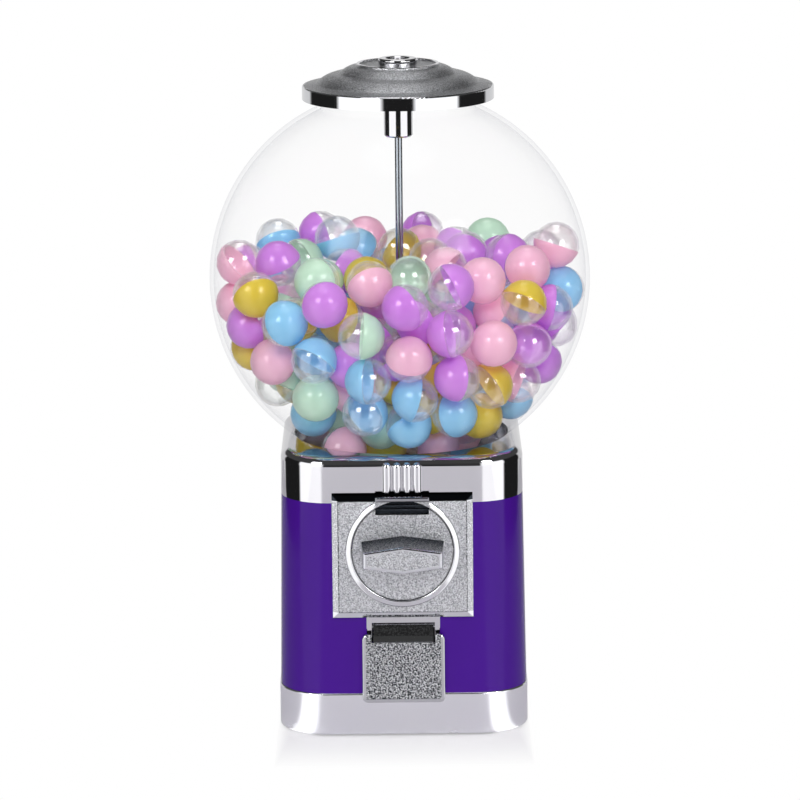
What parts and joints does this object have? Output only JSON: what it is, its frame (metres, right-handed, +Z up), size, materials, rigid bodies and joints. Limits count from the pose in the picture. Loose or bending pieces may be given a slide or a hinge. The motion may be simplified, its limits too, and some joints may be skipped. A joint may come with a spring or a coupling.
{
  "type": "gumball machine",
  "caption": "Table-top capsule vending machine: clear globe on a square violet body with chrome lid, collar, coin plate, turning dial, drop flap and base.",
  "frame": {"origin": "on the floor under the middle of the base, on the axis of the globe and centre rod", "axes": "+Z up along the globe's axis, the coin plate faces -Y, +X to the right seen from the front"},
  "size_m": [0.241, 0.241, 0.4194],
  "materials": {
    "silver_base": "satin chrome plate",
    "violet_shell": "glossy violet enamel",
    "mirror_chrome": "mirror polish",
    "textured_chrome": "sand-cast texture, chrome plate, polished edges",
    "hammered_chrome": "coarse hammered texture, chrome plate",
    "clear_globe": "clear, polished",
    "steel": "zinc plated",
    "black_plastic": "moulded, matt",
    "white_plastic": "moulded, matt",
    "zinc_casting": "as cast",
    "foot_rubber": "matt",
    "capsule_blue": "translucent, polished",
    "capsule_green": "translucent, polished",
    "capsule_pink": "translucent, polished",
    "capsule_purple": "translucent, polished",
    "capsule_yellow": "translucent, polished",
    "capsule_clear": "clear, polished"
  },
  "bodies": {
    "cabinet": {"base_tray": "silver_base", "rubber_feet": "foot_rubber", "body_shell": "violet_shell", "top_collar": "mirror_chrome", "globe": "clear_globe", "centre_rod": "steel", "rod_nuts": "steel", "rod_washers": "steel", "hopper": "black_plastic", "outlet_guard": "steel", "guard_screws": "steel", "chute": "black_plastic", "coin_plate": "textured_chrome", "dial_bezel": "mirror_chrome", "mechanism_bracket": "zinc_casting", "pawl_pin": "steel", "pawl_spring": "steel", "bracket_screws": "steel", "plate_screws": "steel", "chute_frame": "mirror_chrome", "frame_screws": "steel", "hinge_pin": "steel", "capsule_cups_blue": "capsule_blue", "capsule_cups_green": "capsule_green", "capsule_cups_pink": "capsule_pink", "capsule_cups_purple": "capsule_purple", "capsule_cups_yellow": "capsule_yellow", "capsule_caps": "capsule_clear"},
    "knob": {"dial": "textured_chrome", "knob_shaft": "steel", "coin_carrier": "zinc_casting", "ratchet_wheel": "steel", "drive_pinion": "white_plastic", "shaft_collar": "steel"},
    "wheel": {"dispensing_wheel": "white_plastic", "wheel_capsule_cups": "capsule_pink", "wheel_capsule_caps": "capsule_clear"},
    "flap": {"chute_flap": "hammered_chrome"},
    "lid": {"lid": "textured_chrome", "lock_barrel": "mirror_chrome", "lock_nut": "steel"},
    "lock": {"lock_plug": "mirror_chrome"},
    "pawl": {"ratchet_pawl": "steel"}
  },
  "joints": [
    {"name": "knob_turn", "type": "hinge", "parent": "cabinet", "child": "knob", "pos_m": [0, -0.08, 0.1215], "axis": [0, 1, 0], "continuous": true},
    {"name": "wheel_turn", "type": "hinge", "parent": "cabinet", "child": "wheel", "pos_m": [0, 0, 0.145], "axis": [0, 0, 1], "continuous": true},
    {"name": "flap_swing", "type": "hinge", "parent": "cabinet", "child": "flap", "pos_m": [0, -0.0725, 0.0705], "axis": [-1, 0, 0], "range_deg": [0, 58]},
    {"name": "lid_lift", "type": "slide", "parent": "cabinet", "child": "lid", "axis": [0, 0, 1], "range_m": [0, 0.09]},
    {"name": "lock_turn", "type": "hinge", "parent": "lid", "child": "lock", "pos_m": [0, 0, 0.4], "axis": [0, 0, 1], "continuous": true},
    {"name": "pawl_lift", "type": "hinge", "parent": "cabinet", "child": "pawl", "pos_m": [0.027, -0.069, 0.104], "axis": [0, 1, 0], "range_deg": [0, 8], "stiffness_Nm_per_rad": 0.02, "springref_deg": -5.73, "deforming": ["pawl_spring"]}
  ],
  "couplings": [
    {"joint": "wheel_turn", "follows": "knob_turn", "ratio": 0.25}
  ]
}
